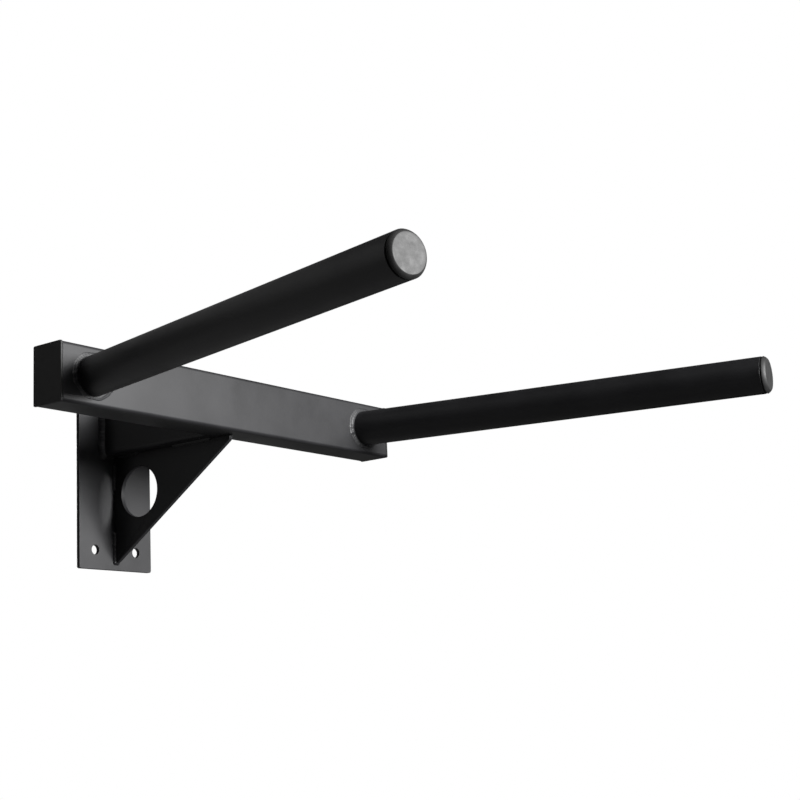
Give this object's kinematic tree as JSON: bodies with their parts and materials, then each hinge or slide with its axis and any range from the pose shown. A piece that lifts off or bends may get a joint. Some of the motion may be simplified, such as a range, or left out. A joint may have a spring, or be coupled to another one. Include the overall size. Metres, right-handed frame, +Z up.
{
  "type": "wall-mounted dip station",
  "caption": "Black powder-coated dip bar that bolts flat to a wall: a box-section arm with a gusset carries a crossbar and round, outward-splayed handles.",
  "frame": {"origin": "centre of the wall plate's flat rear face, which is the centre of its four bolt holes", "axes": "+Y into the wall, +Z up, +X to the right of a person who faces the wall; the handles reach towards -Y"},
  "size_m": [0.8248, 0.8397, 0.3],
  "materials": {
    "powder_coat": "black polyester powder coat on steel, satin, with a fine orange peel",
    "coated_weld": "weld bead under the same black powder coat, its ripples softened by the coat",
    "cap_plastic": "moulded black polyethylene with a fine spark-eroded grain",
    "plug_plastic": "moulded black polyethylene, fine grain"
  },
  "bodies": {
    "root": {"wall_plate": "powder_coat", "support_arm": "powder_coat", "gusset": "powder_coat", "crossbar": "powder_coat", "crossbar_end_plug_left": "plug_plastic", "crossbar_end_plug_right": "plug_plastic", "handle_tube_left": "powder_coat", "handle_tube_right": "powder_coat", "handle_end_cap_left": "cap_plastic", "handle_end_cap_right": "cap_plastic", "handle_weld_left": "coated_weld", "handle_weld_right": "coated_weld", "arm_to_plate_weld": "coated_weld", "arm_to_crossbar_weld_left": "coated_weld", "arm_to_crossbar_weld_right": "coated_weld", "arm_to_crossbar_weld_top": "coated_weld", "arm_to_crossbar_weld_bottom": "coated_weld", "gusset_to_plate_weld_left": "coated_weld", "gusset_to_plate_weld_right": "coated_weld", "gusset_toe_weld": "coated_weld", "gusset_to_arm_weld_rear_left": "coated_weld", "gusset_to_arm_weld_rear_right": "coated_weld", "gusset_to_arm_weld_front_left": "coated_weld", "gusset_to_arm_weld_front_right": "coated_weld"}
  },
  "joints": []
}
